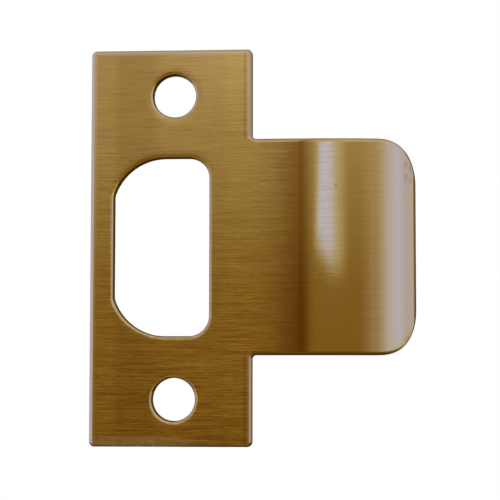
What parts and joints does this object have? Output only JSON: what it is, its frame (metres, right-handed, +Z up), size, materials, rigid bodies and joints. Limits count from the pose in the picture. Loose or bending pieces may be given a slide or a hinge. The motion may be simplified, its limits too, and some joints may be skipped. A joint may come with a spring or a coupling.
{
  "type": "door strike plate",
  "caption": "T-shaped door strike plate with a latch opening, plain screw holes and a curved lip that guides the latch bolt in.",
  "frame": {"origin": "midway between the two screw holes, on the flat back face that lies on the jamb", "axes": "+Z up along the plate, +X from the plate towards the lip, -Y out of the face towards the door"},
  "size_m": [0.0572, 0.0074, 0.0698],
  "materials": {
    "brushed_brass": "satin brushed across the plate, toned brown"
  },
  "bodies": {
    "root": {"strike_plate": "brushed_brass"}
  },
  "joints": []
}
